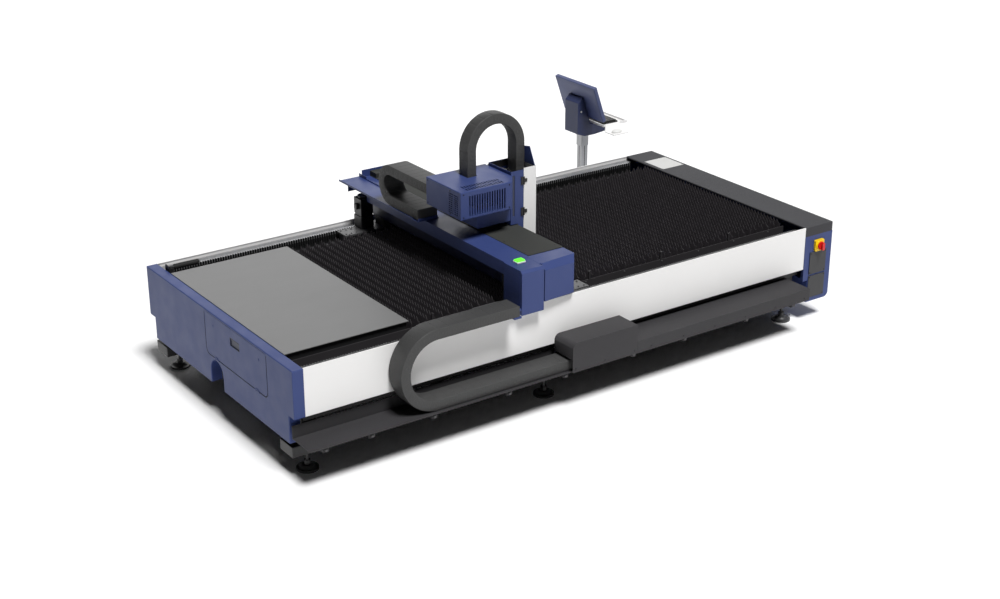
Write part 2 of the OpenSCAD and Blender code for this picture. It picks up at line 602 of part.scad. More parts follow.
module head_door() color(white) at() difference() {
  union() {
    bx(2118.5, 2222, 640, 643, 872, 1390);
    bx(2219, 2222, 640, 893, 872, 1390);
    for (z = [1090, 1305]) {
      bx(2118.5, 2143, 634, 640 + e, z - 11.5, z + 11.5);
      zcyl(z - 11.5, z + 11.5, 2117.5, 634, 5);
    }
  }
  for (z = [1090, 1305]) zcyl(z - 12, z + 12, 2117.5, 634, 2.55);
}
module z_slide() color([0.5, 0.51, 0.53]) at() difference() {
  union() {
    bx(2096, 2124, 688, 853, 900, 1240);
    bx(2106, 2124, 688, 853, 1239, 1300);
    bx(2124 - e, 2211, 757, 859, 1284, 1299.7);
  }
  for (y = [696, 830]) bx(2095, 2104.4, y - 0.4, y + 15.4, 899, 1301);
}
module cutting_head() color([0.55, 0.56, 0.58]) at() {
  bx(2124, 2132, 730, 810, 930, 1130);
  bx(2132 - e, 2208, 726, 814, 900, 1060);
  zcyl(1060 - e, 1190, 2170, 770, 30);
  zcyl(1190 - e, 1215, 2170, 770, 20);
  zcyl(858, 900 + e, 2170, 770, 34);
  translate([2170, 770, 800]) cylinder(r1 = 20, r2 = 32, h = 58 + e);
  zcyl(776, 800 + e, 2170, 770, 14);
  translate([2170, 770, nozzle_z]) cylinder(r1 = 3, r2 = 11, h = 776 - nozzle_z + e);
}
module lift_chain_left() color([0.3, 0.3, 0.3]) at() bx(1750, 1820, 757, 859, 1340, 1524.7);
module lift_chain_loop() color([0.3, 0.3, 0.3]) at()
  translate([1820 + lift_r, 859, 1525]) rotate([90, 0, 0]) rotate([0, 0, -90])
    half_ring(lift_r, chain_t, 102);
module lift_chain_right() color([0.3, 0.3, 0.3]) at()
  bx(1820 + 2 * lift_r, 1820 + 2 * lift_r + chain_t, 757, 859, 1300, 1524.7);

side_beams();
cross_tubes();
base_rails();
left_cover();
right_cover();
right_cap();
cover_panels();
isolator_base();
isolator_knob();
front_panel();
rear_panel();
slats();
slat_supports();
deck_plate();
guide_rails();
racks();
levelling_feet();
slag_pans();
front_tray();
anchor_box();
tray_cover();
console_post();
console_head();
monitor();
screen();
keyboard_tray();
keyboard();
mouse();
main_chain_lower();
main_chain_loop();
main_chain_upper();
hatch_door();
hatch_fittings();
slider_plates();
bearing_blocks();
gantry_beam();
beam_cover();
dust_cover();
front_leg();
front_box();
chain_supports();
status_light();
drive_motors();
beam_rails();
cross_chain_lower();
cross_chain_loop();
cross_chain_upper();
front_pinion();
rear_pinion();
cross_pinion();
carriage_plate();
carriage_cover();
cross_motor();
z_column();
head_door();
z_slide();
cutting_head();
lift_chain_left();
lift_chain_loop();
lift_chain_right();
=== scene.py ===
import json
import math
import bpy
import bmesh
from mathutils import Matrix, Vector

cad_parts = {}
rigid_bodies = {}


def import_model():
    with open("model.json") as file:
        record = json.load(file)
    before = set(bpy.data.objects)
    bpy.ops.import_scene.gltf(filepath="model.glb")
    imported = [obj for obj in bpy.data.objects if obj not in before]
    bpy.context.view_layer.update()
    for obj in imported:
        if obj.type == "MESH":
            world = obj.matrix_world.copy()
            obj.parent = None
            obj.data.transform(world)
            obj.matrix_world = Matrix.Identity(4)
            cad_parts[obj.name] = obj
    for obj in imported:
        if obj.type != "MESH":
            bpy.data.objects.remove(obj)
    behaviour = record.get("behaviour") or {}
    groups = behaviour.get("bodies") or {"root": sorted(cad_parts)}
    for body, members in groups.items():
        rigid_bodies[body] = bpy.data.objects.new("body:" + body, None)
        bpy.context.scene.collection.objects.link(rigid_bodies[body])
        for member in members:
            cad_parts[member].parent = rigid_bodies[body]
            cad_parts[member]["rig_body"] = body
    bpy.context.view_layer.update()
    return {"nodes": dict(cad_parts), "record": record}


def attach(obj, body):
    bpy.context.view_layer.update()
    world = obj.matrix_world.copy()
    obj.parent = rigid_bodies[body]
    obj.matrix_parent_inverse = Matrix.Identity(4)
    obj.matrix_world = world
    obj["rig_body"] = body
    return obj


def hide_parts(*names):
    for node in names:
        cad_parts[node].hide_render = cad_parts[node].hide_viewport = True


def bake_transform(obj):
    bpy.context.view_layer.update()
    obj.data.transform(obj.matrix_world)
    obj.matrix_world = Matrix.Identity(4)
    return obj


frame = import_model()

nodes = frame["nodes"]
body_of_node = {n: o["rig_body"] for n, o in nodes.items()}
slot_of_node = {s["node"]: s["material_slot"] for s in frame["record"]["subparts"]}
scene = bpy.context.scene

# working millimetres: X from the left cover, Y from the front panel, Z from the floor
OX, OY = 2217.0, 1285.0


def P(x, y, z):
    return Vector(((x - OX) / 1000, (y - OY) / 1000, z / 1000))


# ------------------------------------------------------------------ camera
cam_data = bpy.data.cameras.new("camera")
cam_data.lens = 60.0
cam_data.sensor_width = 36.0
cam_data.sensor_fit = "HORIZONTAL"
cam_data.clip_end = 200.0
cam = bpy.data.objects.new("camera", cam_data)
cam.location = P(-4029.94, -7834.77, 4860.90)
cam.rotation_euler = (math.radians(67.1472), 0, math.radians(-35.0993))
scene.collection.objects.link(cam)
scene.camera = cam


# ------------------------------------------------------------------ materials
def lin(c):
    return tuple(((v / 255) / 12.92 if v / 255 <= 0.04045 else ((v / 255 + 0.055) / 1.055) ** 2.4) for v in c)


def shade(rgb, k):
    return tuple(min(1.0, v * k) for v in rgb)


class Mat:
    def __init__(self, name):
        self.m = bpy.data.materials.new(name)
        self.m.use_nodes = True
        self.t = self.m.node_tree
        self.b = self.t.nodes["Principled BSDF"]
        self.co = self.t.nodes.new("ShaderNodeTexCoord").outputs["Object"]

    def put(self, **kw):
        for k, v in kw.items():
            self.b.inputs[k.replace("_", " ")].default_value = v
        return self

    def noise(self, scale, detail=2.0, stretch=None, rough=0.5):
        n = self.t.nodes.new("ShaderNodeTexNoise")
        n.inputs["Scale"].default_value = scale
        n.inputs["Detail"].default_value = detail
        n.inputs["Roughness"].default_value = rough
        src = self.co
        if stretch:
            mp = self.t.nodes.new("ShaderNodeMapping")
            mp.inputs["Scale"].default_value = stretch
            self.t.links.new(src, mp.inputs["Vector"])
            src = mp.outputs["Vector"]
        self.t.links.new(src, n.inputs["Vector"])
        return n.outputs["Fac"]

    def ramp(self, fac, stops):
        r = self.t.nodes.new("ShaderNodeValToRGB")
        els = r.color_ramp.elements
        while len(els) < len(stops):
            els.new(0.5)
        for e, (p, c) in zip(els, stops):
            e.position = p
            e.color = (*c, 1.0) if len(c) == 3 else c
        self.t.links.new(fac, r.inputs["Fac"])
        return r.outputs["Color"]

    def span(self, fac, a0, a1, b0, b1):
        r = self.t.nodes.new("ShaderNodeMapRange")
        for k, v in zip(("From Min", "From Max", "To Min", "To Max"), (a0, a1, b0, b1)):
            r.inputs[k].default_value = v
        self.t.links.new(fac, r.inputs["Value"])
        return r.outputs["Result"]

    def axis(self, k):
        s = self.t.nodes.new("ShaderNodeSeparateXYZ")
        self.t.links.new(self.co, s.inputs[0])
        return s.outputs[k]

    def math(self, op, a, b):
        n = self.t.nodes.new("ShaderNodeMath")
        n.operation = op
        for i, v in enumerate((a, b)):
            if isinstance(v, (int, float)):
                n.inputs[i].default_value = v
            else:
                self.t.links.new(v, n.inputs[i])
        return n.outputs[0]

    def mix(self, fac, a, b):
        n = self.t.nodes.new("ShaderNodeMix")
        n.data_type = "RGBA"
        self.t.links.new(fac, n.inputs[0])
        for k, v in ((6, a), (7, b)):
            if isinstance(v, tuple):
                n.inputs[k].default_value = (*v, 1.0)
            else:
                self.t.links.new(v, n.inputs[k])
        return n.outputs[2]

    def link(self, out, name):
        self.t.links.new(out, self.b.inputs[name])
        return self

    def bump(self, height, strength, distance):
        n = self.t.nodes.new("ShaderNodeBump")
        n.inputs["Strength"].default_value = strength
        n.inputs["Distance"].default_value = distance
        self.t.links.new(height, n.inputs["Height"])
        self.t.links.new(n.outputs["Normal"], self.b.inputs["Normal"])
        return self


def paint(name, srgb, rough=0.36, var=0.04, peel=0.10, coat=0.0, grain=420.0, spec=0.5):
    m, c = Mat(name), lin(srgb)
    m.put(Specular_IOR_Level=spec)
    m.link(m.ramp(m.noise(1.7, 3), [(0.3, shade(c, 1 - var)), (0.7, shade(c, 1 + var))]), "Base Color")
    m.link(m.span(m.noise(9.0, 4), 0.3, 0.7, rough - 0.05, rough + 0.05), "Roughness")
    m.bump(m.noise(grain, 2), peel, 0.0006)
    if coat:
        m.put(Coat_Weight=coat, Coat_Roughness=0.12)
    return m.m


def textured(name, srgb, rough=0.55, var=0.05, bump=0.25, spec=0.5):
    m, c = Mat(name), lin(srgb)
    m.put(Specular_IOR_Level=spec)
    f = m.noise(900.0, 3)
    m.link(m.mix(m.span(m.noise(2.5, 3), 0.3, 0.7, 0.0, 1.0), shade(c, 1 - var), shade(c, 1 + var)), "Base Color")
    m.link(m.span(f, 0.3, 0.7, rough - 0.08, rough + 0.08), "Roughness")
    m.bump(f, bump, 0.0005)
    return m.m


def metal(name, srgb, rough=0.32, stretch=(1, 40, 40), var=0.12, bump=0.08, metallic=1.0):
    m, c = Mat(name), lin(srgb)
    s = m.noise(14.0, 4, stretch)
    m.link(m.ramp(s, [(0.3, shade(c, 1 - var)), (0.7, shade(c, 1 + var))]), "Base Color")
    m.link(m.span(s, 0.3, 0.7, rough - 0.07, rough + 0.09), "Roughness")
    m.bump(s, bump, 0.0003)
    m.put(Metallic=metallic)
    return m.m


def plastic(name, srgb, rough=0.5, bump=0.12, var=0.05, spec=0.5):
    m, c = Mat(name), lin(srgb)
    m.put(Specular_IOR_Level=spec)
    f = m.noise(1300.0, 2)
    m.link(m.ramp(m.noise(6.0, 3), [(0.3, shade(c, 1 - var)), (0.7, shade(c, 1 + var))]), "Base Color")
    m.link(m.span(f, 0.3, 0.7, rough - 0.06, rough + 0.06), "Roughness")
    m.bump(f, bump, 0.0003)
    return m.m


M = {}
M["blue"] = paint("blue_powder_coat", (56, 70, 121), rough=0.45, spec=0.32)
M["navy"] = paint("navy_powder_coat", (52, 60, 96), rough=0.42, spec=0.4)
M["deep"] = paint("deep_navy_paint", (36, 42, 80), rough=0.4)
M["shell"] = paint("screen_housing_paint", (68, 78, 121), rough=0.42, spec=0.5)
M["white"] = paint("white_powder_coat", (241, 240, 239), rough=0.42, var=0.012, peel=0.08)
M["frame"] = paint("frame_black_paint", (38, 38, 39), rough=0.46)
M["strip"] = paint("strip_dark_paint", (53, 51, 53), rough=0.5, spec=0.3)
M["foot"] = paint("foot_dark_paint", (62, 62, 63), rough=0.42)
M["slider"] = paint("slider_grey_paint", (80, 80, 81), rough=0.45)
M["bolt"] = paint("bolt_grey_finish", (84, 84, 85), rough=0.4)
M["cap"] = textured("cap_textured_grey", (68, 68, 71), rough=0.6, spec=0.12)
M["trough"] = textured("trough_textured_grey", (60, 59, 61), rough=0.55, spec=0.2)
M["panel"] = textured("panel_textured_black", (54, 54, 56), rough=0.5)
M["cup"] = textured("handle_cup_grey", (56, 61, 82), rough=0.5)
M["olive"] = textured("dust_cover_matt", (61, 62, 60), rough=0.7, spec=0.1)
M["chain"] = plastic("chain_plastic", (69, 69, 69), rough=0.5, bump=0.1, var=0.02, spec=0.25)
M["black"] = plastic("black_plastic", (32, 32, 33), rough=0.42)
M["light"] = plastic("light_plastic", (226, 226, 224), rough=0.38)
M["label"] = plastic("blank_label_film", (196, 196, 194), rough=0.4, var=0.02, bump=0.05)
M["yellow"] = plastic("switch_yellow", (250, 208, 12), rough=0.34)
M["red"] = plastic("switch_red", (214, 22, 18), rough=0.3)
M["rubber"] = plastic("rubber", (26, 26, 26), rough=0.75, bump=0.4)
M["motor"] = paint("motor_black_paint", (31, 31, 33), rough=0.4, peel=0.25)
M["rail"] = metal("dark_rail_steel", (62, 62, 64), rough=0.4, metallic=0.5)
M["steel"] = metal("ground_steel", (176, 178, 180), rough=0.27)
M["alu"] = metal("machined_aluminium", (176, 179, 184), rough=0.36, stretch=(30, 30, 1))
M["plate"] = metal("machined_grey_plate", (138, 139, 142), rough=0.42, metallic=0.75)
M["zinc"] = metal("zinc_screw", (172, 172, 170), rough=0.3, stretch=(6, 6, 6))
M["oxide"] = metal("black_oxide_screw", (52, 52, 54), rough=0.38, stretch=(6, 6, 6))
M["copper"] = metal("copper_nozzle", (196, 118, 78), rough=0.28, stretch=(5, 5, 40))
M["post"] = metal("brushed_post", (186, 187, 189), rough=0.4, stretch=(40, 40, 1.5), metallic=0.4)

# rolled sheet on the parking zone
m = Mat("rolled_deck_sheet")
s = m.noise(3.0, 4, (1.0, 3.0, 1.0), 0.5)
m.link(m.ramp(s, [(0.25, lin((121, 121, 121))), (0.75, lin((123, 123, 123)))]), "Base Color")
m.link(m.span(m.noise(2.0, 2), 0.3, 0.7, 0.46, 0.49), "Roughness")
m.bump(m.noise(700.0, 2), 0.05, 0.0003)
m.put(Metallic=0.15)
M["deck"] = m.m

# slats: mill-scale mottling; the side faces take a much lighter copy than the cut edges and teeth, painted light
# standing in for light on the deep faces between the slats
m = Mat("slat_sides_painted_light")
m.link(m.ramp(m.noise(20.0, 5), [(0.3, lin((112, 107, 112))), (0.7, lin((126, 120, 126)))]), "Base Color")
m.link(m.span(m.noise(80.0, 4), 0.3, 0.7, 0.5, 0.66), "Roughness")
m.bump(m.noise(240.0, 3), 0.25, 0.0006)
m.put(Metallic=0.1, Specular_IOR_Level=0.3)
M["slat_edge"] = m.m.copy()
M["slat_edge"].name = "slat_cut_edge"
for n in M["slat_edge"].node_tree.nodes:
    if n.type == "VALTORGB":
        n.color_ramp.elements[0].color = (*lin((44, 42, 44)), 1.0)
        n.color_ramp.elements[1].color = (*lin((60, 57, 59)), 1.0)
M["slat"] = m.m

# racks: painted light and shade: bright steel on the teeth and top of the rear rack, painted dark on the rear rack's
# face below the teeth and on the whole front rack, where the panel shades it
m = Mat("rack_steel")
tips = m.math("MULTIPLY", m.span(m.axis(1), 0.6545, 0.6552, 1.0, 0.0), m.span(m.axis(2), 0.68, 0.682, 0.0, 1.0))
# mask of the painted light: 1 (bright) on the rear rack's teeth and top, 0 (painted shade) on the front rack and the
# faces below
side = m.math("MULTIPLY", m.span(m.axis(1), -0.4, 0.2, 0.0, 1.0), m.math("MAXIMUM", tips, m.span(m.axis(2), 0.7012, 0.7018, 0.0, 1.0)))
m.link(m.mix(side, lin((64, 64, 65)), m.ramp(m.noise(22.0, 4, (20, 1, 20)), [(0.3, lin((150, 151, 153))), (0.7, lin((186, 187, 189)))])), "Base Color")
m.link(m.span(m.noise(30.0, 4), 0.3, 0.7, 0.28, 0.44), "Roughness")
m.bump(m.noise(180.0, 2), 0.08, 0.0004)
m.put(Metallic=0.7)
M["rack"] = m.m

# lit lens of the status light
m = Mat("status_lens")
g = m.ramp(m.noise(30.0, 2), [(0.3, lin((84, 236, 40))), (0.7, lin((120, 255, 70)))])
m.link(g, "Base Color")
m.link(g, "Emission Color")
m.put(Emission_Strength=0.75, Roughness=0.2)
m.bump(m.noise(260.0, 2), 0.1, 0.0004)
M["lamp"] = m.m

# dark display panel
m = Mat("display_glass")
m.link(m.ramp(m.noise(3.0, 2), [(0.3, lin((10, 12, 16))), (0.7, lin((17, 20, 27)))]), "Base Color")
m.link(m.span(m.noise(40.0, 3), 0.3, 0.7, 0.06, 0.12), "Roughness")
m.put(Coat_Weight=0.5, Coat_Roughness=0.05)
M["screen"] = m.m


# ------------------------------------------------------------------ mesh helpers
def finish_mesh(name, bm, mat, body, replaces=(), slot=None, angle=32.0, weighted=True):
    me = bpy.data.meshes.new(name)
    bm.normal_update()
    bm.to_mesh(me)
    bm.free()
    me.polygons.foreach_set("use_smooth", [True] * len(me.polygons))
    me.set_sharp_from_angle(angle=math.radians(angle))
    ob = bpy.data.objects.new(name, me)
    scene.collection.objects.link(ob)
    for one in mat if isinstance(mat, (list, tuple)) else [mat]:
        me.materials.append(M[one])
    if weighted:
        w = ob.modifiers.new("normals", "WEIGHTED_NORMAL")
        w.keep_sharp, w.weight = True, 80
    if body:
        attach(ob, body)
    if replaces:
        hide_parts(*replaces)
        slot = slot or slot_of_node[replaces[0]]
    return ob


def wide(f):
    p = sum(e.calc_length() for e in f.edges)
    return 2 * f.calc_area() / p if p else 0.0


def from_cad(node, mat, bevel=2.0, segments=3, least=8.0, small=0.0, accents=()):
    """A copy of a CAD node with rounded folds: edges between two wide faces get the radius bevel (mm).

    accents holds (test, material): faces whose centre (working mm) passes the test take that material."""
    bm = bmesh.new()
    bm.from_mesh(nodes[node].data)
    bmesh.ops.remove_doubles(bm, verts=bm.verts, dist=2e-6)
    bmesh.ops.dissolve_limit(bm, angle_limit=math.radians(0.6), verts=bm.verts, edges=bm.edges, use_dissolve_boundaries=False)
    bm.normal_update()
    big, fine = [], []
    for e in bm.edges:
        if len(e.link_faces) != 2 or not e.is_convex:
            continue
        if e.calc_face_angle(0) < math.radians(38):
            continue
        a, b = (wide(f) * 1000 for f in e.link_faces)
        if min(a, b) > least:
            big.append(e)
        elif small:
            fine.append(e)
    if big and bevel:
        bmesh.ops.bevel(bm, geom=big, offset=bevel / 1000, offset_type="OFFSET", segments=segments, profile=0.5,
                        affect="EDGES", clamp_overlap=True)
    bm.normal_update()
    for f in bm.faces:
        c = f.calc_center_median()
        c = Vector((c.x * 1000 + OX, c.y * 1000 + OY, c.z * 1000))
        for k, (test, _) in enumerate(accents):
            if test(c):
                f.material_index = k + 1
    return finish_mesh(node + "_part", bm, [mat] + [a for _, a in accents], body_of_node[node], (node,))


def ring_loft(bm, rings, cap=True, closed_ring=True):
    rows = [[bm.verts.new(p) for p in r] for r in rings]
    n = len(rows[0])
    for a, b in zip(rows, rows[1:]):
        for i in range(n if closed_ring else n - 1):
            j = (i + 1) % n
            bm.faces.new((a[i], a[j], b[j], b[i]))
    if cap:
        bm.faces.new(list(reversed(rows[0])))
        bm.faces.new(rows[-1])
    return rows


def revolve(bm, at, axis, profile, seg=24, matidx=0):
    """Closed turned solid: profile is (radius, height) in mm along axis, from the foot up."""
    az = Vector(axis).normalized()
    ax = az.orthogonal().normalized()
    ay = az.cross(ax)
    rows = []
    for r, h in profile:
        rows.append([at + az * (h / 1000) + (ax * math.cos(2 * math.pi * k / seg) + ay * math.sin(2 * math.pi * k / seg)) * (r / 1000) for k in range(seg)])
    before = len(bm.faces)
    ring_loft(bm, rows)
    bm.faces.ensure_lookup_table()
    for f in list(bm.faces)[before:]:
        f.material_index = matidx


AX = {"+x": (1, 0, 0), "-x": (-1, 0, 0), "+y": (0, 1, 0), "-y": (0, -1, 0), "+z": (0, 0, 1), "-z": (0, 0, -1)}


def socket_screw(bm, at, axis, r=5.0, h=3.2, seg=20, flat=False):
    """Screw head with a hexagon socket, standing on a face."""
    az = Vector(AX.get(axis, axis)).normalized()
    ax = az.orthogonal().normalized()
    ay = az.cross(ax)

    def ring(rad, z, n=seg, hexa=False):
        out = []
        for k in range(n):
            a = 2 * math.pi * k / n
            rr = rad
            if hexa:
                b = (a % (math.pi / 3)) - math.pi / 6
                rr = rad * math.cos(math.pi / 6) / math.cos(b)
            out.append(at + az * (z / 1000) + (ax * math.cos(a) + ay * math.sin(a)) * (rr / 1000))
        return out

    n = 24
    body = [ring(r, -0.3, n), ring(r, h * (0.75 if flat else 0.45), n), ring(r * 0.9, h * (0.95 if flat else 0.8), n), ring(r * 0.72, h, n),
            ring(r * 0.5, h, n, True), ring(r * 0.46, h * 0.45, n, True)]
    ring_loft(bm, body)


def hex_head(bm, at, axis, r=8.0, h=5.0):
    az = Vector(AX.get(axis, axis)).normalized()
    ax = az.orthogonal().normalized()
    ay = az.cross(ax)

    def ring(rad, z):
        return [at + az * (z / 1000) + (ax * math.cos(k * math.pi / 3) + ay * math.sin(k * math.pi / 3)) * (rad / 1000) for k in range(6)]

    ring_loft(bm, [ring(r, -0.3), ring(r, h * 0.82), ring(r * 0.86, h)])


def screws(name, body, places, mat="zinc", slot="bright_steel", r=5.0, h=3.2, head=socket_screw):
    bm = bmesh.new()
    for x, y, z, a in places:
        head(bm, P(x, y, z), a, r, h)
    return finish_mesh(name, bm, mat, body, slot=slot, angle=35)


def box_bm(bm, lo, hi, r=0.0, seg=2, mat=0):
    """Box with rounded edges, mm in the working frame."""
    before = set(bm.faces)
    g = bmesh.ops.create_cube(bm, size=1.0)
    a, b = P(*lo), P(*hi)
    for v in g["verts"]:
        v.co = Vector(((a[i] + b[i]) / 2 + v.co[i] * (b[i] - a[i]) for i in range(3)))
    if r:
        es = list({e for v in g["verts"] for e in v.link_edges})
        bmesh.ops.bevel(bm, geom=es, offset=r / 1000, offset_type="OFFSET", segments=seg, profile=0.5, affect="EDGES", clamp_overlap=True)
    for f in set(bm.faces) - before:
        f.material_index = mat
    return bm


# ------------------------------------------------------------------ CAD nodes that keep their shape, with rounded folds
for n, mat, r in [
    ("side_beams", "frame", 6), ("cross_tubes", "frame", 5), ("base_rails", "frame", 6),
    ("left_cover", "blue", 6), ("right_cover", "blue", 6), ("right_cap", "cap", 6), ("cover_panels", "panel", 2),
    ("isolator_base", "yellow", 3), ("isolator_knob", "red", 3),
    ("front_panel", "white", 3), ("rear_panel", "white", 3), ("slat_supports", "strip", 2), 
    ("guide_rails", "rail", 2.5), ("slag_pans", "frame", 2), ("front_tray", "trough", 1), ("anchor_box", "trough", 6),
    ("tray_cover", "trough", 6), ("console_post", "post", 4), ("console_head", "navy", 5), ("monitor", "shell", 5),
    ("screen", "screen", 0.5), ("keyboard_tray", "white", 3), ("hatch_door", "blue", 1.5), 
    ("slider_plates", "slider", 2), ("bearing_blocks", "plate", 3), ("gantry_beam", "deep", 8), ("beam_cover", "blue", 5),
    ("dust_cover", "olive", 4), ("front_leg", "blue", 6), ("front_box", "blue", 6), ("chain_supports", "blue", 1.2),
    ("drive_motors", "motor", 4), ("carriage_plate", "plate", 2), ("carriage_cover", "blue", 6), ("cross_motor", "motor", 3),
    ("z_slide", "alu", 2), ("levelling_feet", "foot", 2),
]:
    from_cad(n, mat, r)
from_cad("deck_plate", "deck", 1.2, accents=[(lambda c: c.z < 728.5, "frame")])
from_cad("z_column", "blue", 2, accents=[(lambda c: c.y < 639.6, "black")])
from_cad("head_door", "white", 4, accents=[(lambda c: c.y < 639.6, "black")])
from_cad("hatch_fittings", "cup", 2, accents=[(lambda c: abs(c.y - 737) > 200, "blue")])
from_cad("cutting_head", "alu", 2.5, accents=[(lambda c: c.z < 775.5, "copper"), (lambda c: 1060.5 < c.z < 1216, "motor"), (lambda c: 857 < c.z < 899.5, "motor")])

for n, mat in [("slats", "slat"), ("racks", "rack"), ("beam_rails", "steel"), ("front_pinion", "steel"),
               ("rear_pinion", "steel"), ("cross_pinion", "steel")]:
    o = nodes[n]
    o.data.materials.clear()
    o.data.materials.append(M[mat])
nodes["slats"].data.materials.append(M["slat_edge"])
# side faces (normal along x) take the lighter painted-light copy, all other faces the darker edge copy
for f in nodes["slats"].data.polygons:
    f.material_index = 0 if abs(f.normal.x) > 0.9 else 1


# ------------------------------------------------------------------ cable chains
def section(width, thick, inset, r=5.0):
    """Closed section of a chain link in (across, through) millimetres."""
    a, b = width / 2 - inset, thick / 2 - inset
    pts = []
    for cx, cy, t0 in ((a - r, b - r, 0), (-(a - r), b - r, 90), (-(a - r), -(b - r), 180), (a - r, -(b - r), 270)):
        for k in range(4):
            t = math.radians(t0 + 30 * k)
            pts.append((cx + r * math.cos(t), cy + r * math.sin(t)))
    return pts


def stations(length, pitch, step):
    out, n = [], max(1, round(length / pitch))
    p = length / n
    for k in range(n):
        s = k * p
        out += [(s, 0.7), (s + 1.0, 0.7), (s + 2.2, 0.0)]
        inner = int((p - 4.4) / step)
        out += [(s + 2.2 + (p - 4.4) * (i + 1) / (inner + 1), 0.0) for i in range(inner)]
        out += [(s + p - 2.2, 0.0), (s + p - 1.0, 0.7)]
    out.append((length, 0.7))
    return out, p, n


def chain(name, path, length, width, thick, pitch, step, across):
    """path(s) gives (point, through-normal) in working millimetres; across is the width direction."""
    bm = bmesh.new()
    st, p, n = stations(length, pitch, step)
    rings = []
    w = Vector(across)
    for s, inset in st:
        c, nn = path(s)
        rings.append([P(*(Vector(c) + w * u + Vector(nn) * v)) for u, v in section(width, thick, inset)])
    ring_loft(bm, rings)
    # pivot bosses at the middle of the side plates, one to a link
    for k in range(n):
        c, nn = path((k + 0.5) * p)
        for sgn in (1, -1):
            revolve(bm, P(*(Vector(c) + w * sgn * (width / 2 - 0.6))), w * sgn, [(thick * 0.27, 0), (thick * 0.27, 0.9), (thick * 0.25, 1.3), (thick * 0.13, 1.3), (thick * 0.11, 0.9)], 20)
    bmesh.ops.recalc_face_normals(bm, faces=bm.faces)
    return bm


def straight(a, b, normal):
    a, b = Vector(a), Vector(b)
    d = (b - a).normalized()
    return (lambda s: (a + d * s, normal)), (b - a).length


def bend(centre, e0, e1, radius, turn):
    """Half circle from direction e0 towards e1."""
    c, e0, e1 = Vector(centre), Vector(e0), Vector(e1)

    def path(s):
        t = turn * s / (abs(turn) * radius)
        n = e0 * math.cos(t) + e1 * math.sin(t)
        return c + n * radius, n

    return path, abs(turn) * radius


def blended(name, bm, node=None):
    ob = finish_mesh(name, bm, "chain", None, angle=28, weighted=False)
    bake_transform(ob)
    if node:
        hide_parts(node)
    return ob


T = 70.0
# long chain along the front
W, y = 144.0, -80.0
pa, L = straight((920, y, 313), (2329, y, 313), (0, 0, 1))
blended("long_chain_fixed_run", chain("a", pa, L, W, T, 67, 40, (0, 1, 0)), "main_chain_lower")
pa, L = bend((920, y, 549), (0, 0, 1), (-1, 0, 0), 236, math.pi)
ob = finish_mesh("long_chain_bend", chain("b", pa, L, W, T, 67, 9, (0, 1, 0)), "chain", "main_loop", ("main_chain_loop",), angle=28, weighted=False)
pa, L = straight((920, y, 785), (1220, y, 785), (0, 0, 1))
blended("long_chain_moving_run_left", chain("c", pa, L, W, T, 67, 20, (0, 1, 0)), "main_chain_upper")
pa, L = straight((1220, y, 785), (1519.6, y, 785), (0, 0, 1))
blended("long_chain_moving_run_right", chain("d", pa, L, W, T, 67, 20, (0, 1, 0)))

# cross chain on the beam
W, x = 160.0, 1632.0
pa, L = straight((x, 1070.4, 1050), (x, 1420, 1050), (0, 0, 1))
blended("cross_chain_fixed_run", chain("a", pa, L, W, T, 58, 20, (1, 0, 0)), "cross_chain_lower")
pa, L = bend((x, 1420, 1159), (0, 0, 1), (0, 1, 0), 109, math.pi)
finish_mesh("cross_chain_bend", chain("b", pa, L, W, T, 58, 5, (1, 0, 0)), "chain", "cross_loop", ("cross_chain_loop",), angle=28, weighted=False)
h = (1420 - 937.3) / 2
pa, L = straight((x, 1420, 1268), (x, 1420 - h, 1268), (0, 0, 1))
blended("cross_chain_moving_run_rear", chain("c", pa, L, W, T, 58, 20, (1, 0, 0)), "cross_chain_upper")
pa, L = straight((x, 1420 - h, 1268), (x, 937.6, 1268), (0, 0, 1))
blended("cross_chain_moving_run_front", chain("d", pa, L, W, T, 58, 20, (1, 0, 0)))

# lift chain over the carriage
W, y = 102.0, 808.0
pa, L = straight((1785, y, 1340), (1785, y, 1525), (-1, 0, 0))
blended("lift_chain_fixed_leg", chain("a", pa, L, W, T, 55, 20, (0, 1, 0)), "lift_chain_left")
pa, L = bend((1980, y, 1525), (-1, 0, 0), (0, 0, 1), 195, math.pi)
finish_mesh("lift_chain_bend", chain("b", pa, L, W, T, 55, 8, (0, 1, 0)), "chain", "lift_loop", ("lift_chain_loop",), angle=28, weighted=False)
pa, L = straight((2175, y, 1525), (2175, y, 1300.3), (1, 0, 0))
blended("lift_chain_moving_leg", chain("c", pa, L, W, T, 55, 20, (0, 1, 0)), "lift_chain_right")

# ------------------------------------------------------------------ status light
bm = bmesh.new()
box_bm(bm, (1652, 58, 1000), (1718, 112, 1011), 3, 2)
finish_mesh("status_light_base", bm, "light", "gantry", ("status_light",), slot="light_plastic")
bm = bmesh.new()
box_bm(bm, (1655, 61, 1009), (1715, 109, 1020), 5, 3)
finish_mesh("status_light_lens", bm, "lamp", "gantry", slot="lamp_green")

# ------------------------------------------------------------------ keyboard and mouse
px, py, kz = 4095.0, 2545.0, 893.3
bm = bmesh.new()
box_bm(bm, (px + 66, py - 180, kz + 5), (px + 222, py + 220, kz + 21), 4, 2)
for r, n in enumerate((15, 15, 14, 13, 12)):
    x0 = px + 73 + r * 28.5
    y0, y1 = py - 172, py + 212
    pitch = (y1 - y0) / n
    for k in range(n):
        a, b = y0 + k * pitch + 1.4, y0 + (k + 1) * pitch - 1.4
        box_bm(bm, (x0, a, kz + 20), (x0 + 25, b, kz + 29.5), 2.2, 1)
finish_mesh("keyboard_keys", bm, "black", "bed", ("keyboard",))

